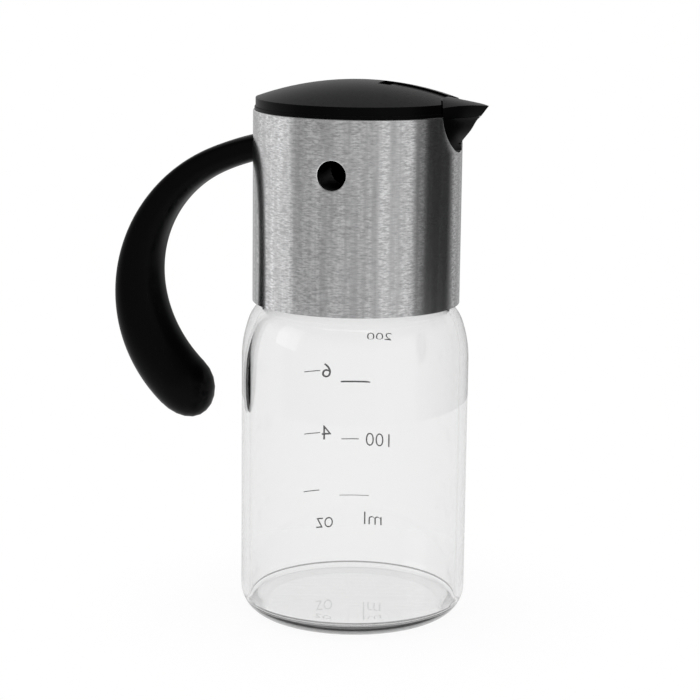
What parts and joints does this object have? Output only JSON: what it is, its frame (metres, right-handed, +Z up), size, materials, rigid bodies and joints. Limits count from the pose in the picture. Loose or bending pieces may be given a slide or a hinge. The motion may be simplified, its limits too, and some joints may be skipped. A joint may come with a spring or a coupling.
{
  "type": "oil cruet",
  "caption": "Glass oil cruet with a brushed steel collar, domed black lid with a weighted spout flap, and an open C handle.",
  "frame": {"origin": "centre of the jar's flat underside", "axes": "+Z up along the jar's axis, +X towards the spout, -X towards the handle"},
  "size_m": [0.1106, 0.066, 0.1566],
  "materials": {
    "clear_glass": "clear, polished",
    "brushed_steel": "brushed around the collar",
    "black_plastic": "fine matte",
    "black_grip": "satin, soft to the touch",
    "clear_silicone": "satin",
    "plain_steel": "turned and polished"
  },
  "bodies": {
    "jar": {"glass_jar": "clear_glass"},
    "seal": {"seal_ring": "clear_silicone"},
    "head": {"collar_sleeve": "brushed_steel", "thread_cap": "black_plastic", "pour_insert": "black_plastic", "divider_wall": "black_plastic", "vent_tubes": "black_plastic", "dome_cover": "black_plastic", "flap_pin": "plain_steel", "handle": "black_grip", "handle_plate": "plain_steel", "handle_screws": "plain_steel"},
    "flap": {"spout_flap": "black_plastic", "flap_weight": "plain_steel"}
  },
  "joints": [
    {"name": "head_lift", "type": "slide", "parent": "jar", "child": "seal", "axis": [0, 0, 1], "range_m": [0, 0.01205]},
    {"name": "head_unscrew", "type": "hinge", "parent": "seal", "child": "head", "pos_m": [0, 0, 0.1], "axis": [0, 0, 1], "range_deg": [0, 1080]},
    {"name": "flap_tilt", "type": "hinge", "parent": "head", "child": "flap", "pos_m": [0.0095, 0, 0.15311], "axis": [0, -1, 0], "range_deg": [0, 32]}
  ],
  "couplings": [
    {"joint": "head_lift", "follows": "head_unscrew", "m_per_rad": 0.00063662}
  ]
}
